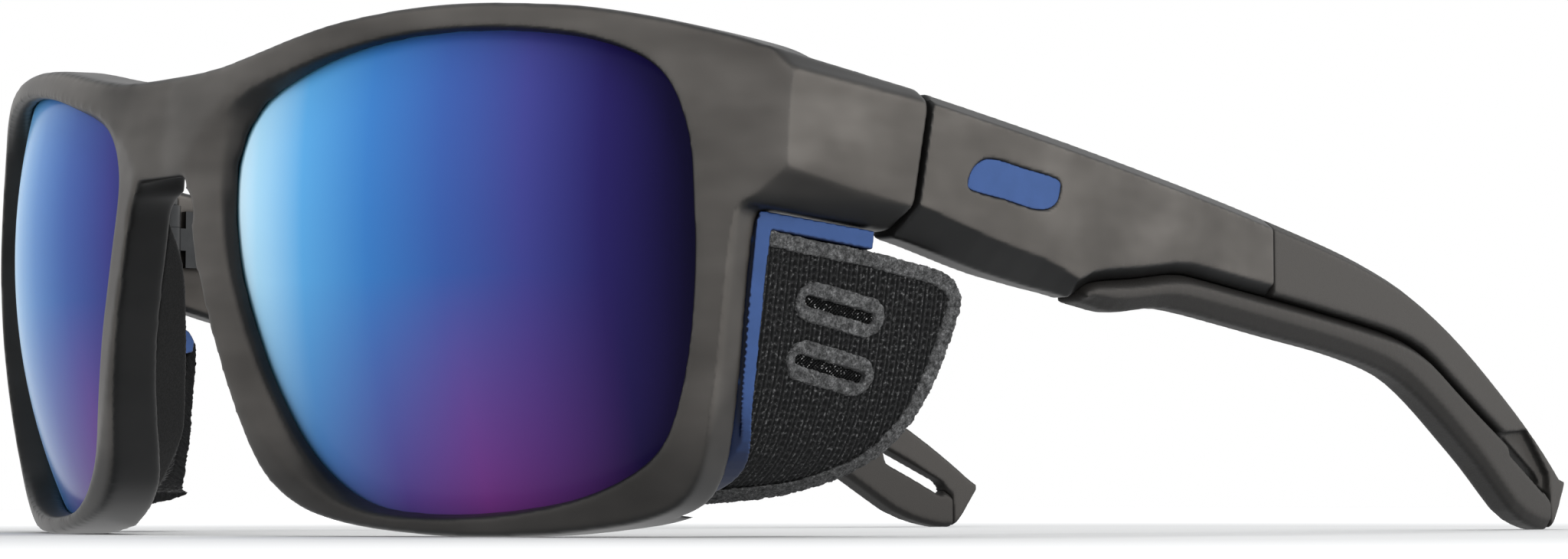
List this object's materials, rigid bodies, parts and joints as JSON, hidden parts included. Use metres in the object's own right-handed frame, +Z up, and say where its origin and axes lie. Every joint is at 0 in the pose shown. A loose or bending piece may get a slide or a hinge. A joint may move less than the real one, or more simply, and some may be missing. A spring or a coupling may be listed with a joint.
{
  "type": "glacier glasses",
  "caption": "Wraparound glacier sunglasses with mirrored lenses, folding rubber-sleeved temples and clip-on fabric side shields.",
  "frame": {"origin": "centre of the bounding box in plan, on the plane the rims and temple tips rest on", "axes": "+X towards the wearer's left, +Y from the lenses back along the temples, +Z up"},
  "size_m": [0.1412, 0.1594, 0.0499],
  "materials": {
    "frame_plastic": "smoky grey translucent moulded plastic, satin matte",
    "mirror_lens": "blue multilayer mirror coating over a dark tint",
    "pad_rubber": "soft matte rubber",
    "blue_plastic": "satin moulded blue plastic",
    "hinge_steel": "satin stamped steel",
    "screw_steel": "machined steel",
    "sleeve_rubber": "fine-grained matte rubber over a steel core",
    "grip_rubber": "softer fine-grained rubber",
    "core_wire": "plain spring steel, sealed inside",
    "shield_knit": "ribbed dark knit",
    "felt_binding": "grey felted edge tape",
    "vent_mesh": "open dark mesh"
  },
  "bodies": {
    "front": {"front_frame": "frame_plastic", "lens_left": "mirror_lens", "lens_right": "mirror_lens", "nose_pad_left": "pad_rubber", "nose_pad_right": "pad_rubber", "shield_catch_left": "blue_plastic", "shield_catch_right": "blue_plastic", "hinge_leaf_front_left": "hinge_steel", "hinge_leaf_front_right": "hinge_steel", "hinge_screw_left": "screw_steel", "hinge_screw_right": "screw_steel"},
    "temple_left": {"temple_arm_left": "frame_plastic", "temple_sleeve_left": "sleeve_rubber", "temple_grip_left": "grip_rubber", "temple_badge_left": "blue_plastic", "temple_core_left": "core_wire", "hinge_leaf_temple_left": "hinge_steel"},
    "temple_right": {"temple_arm_right": "frame_plastic", "temple_sleeve_right": "sleeve_rubber", "temple_grip_right": "grip_rubber", "temple_badge_right": "blue_plastic", "temple_core_right": "core_wire", "hinge_leaf_temple_right": "hinge_steel"},
    "side_shield_left": {"shield_clip_left": "blue_plastic", "shield_fabric_left": "shield_knit", "shield_binding_left": "felt_binding", "vent_binding_left": "felt_binding", "vent_mesh_left": "vent_mesh"},
    "side_shield_right": {"shield_clip_right": "blue_plastic", "shield_fabric_right": "shield_knit", "shield_binding_right": "felt_binding", "vent_binding_right": "felt_binding", "vent_mesh_right": "vent_mesh"}
  },
  "joints": [
    {"name": "temple_left_fold", "type": "hinge", "parent": "front", "child": "temple_left", "pos_m": [0.0639, -0.0397, 0.035], "axis": [0, 0, 1], "range_deg": [0, 75]},
    {"name": "temple_right_fold", "type": "hinge", "parent": "front", "child": "temple_right", "pos_m": [-0.0639, -0.0397, 0.035], "axis": [0, 0, -1], "range_deg": [0, 63]},
    {"name": "side_shield_left_removal", "type": "slide", "parent": "front", "child": "side_shield_left", "axis": [0, 0.9292, -0.3697], "range_m": [0, 0.006]},
    {"name": "side_shield_right_removal", "type": "slide", "parent": "front", "child": "side_shield_right", "axis": [0, 0.9292, -0.3697], "range_m": [0, 0.006]}
  ]
}
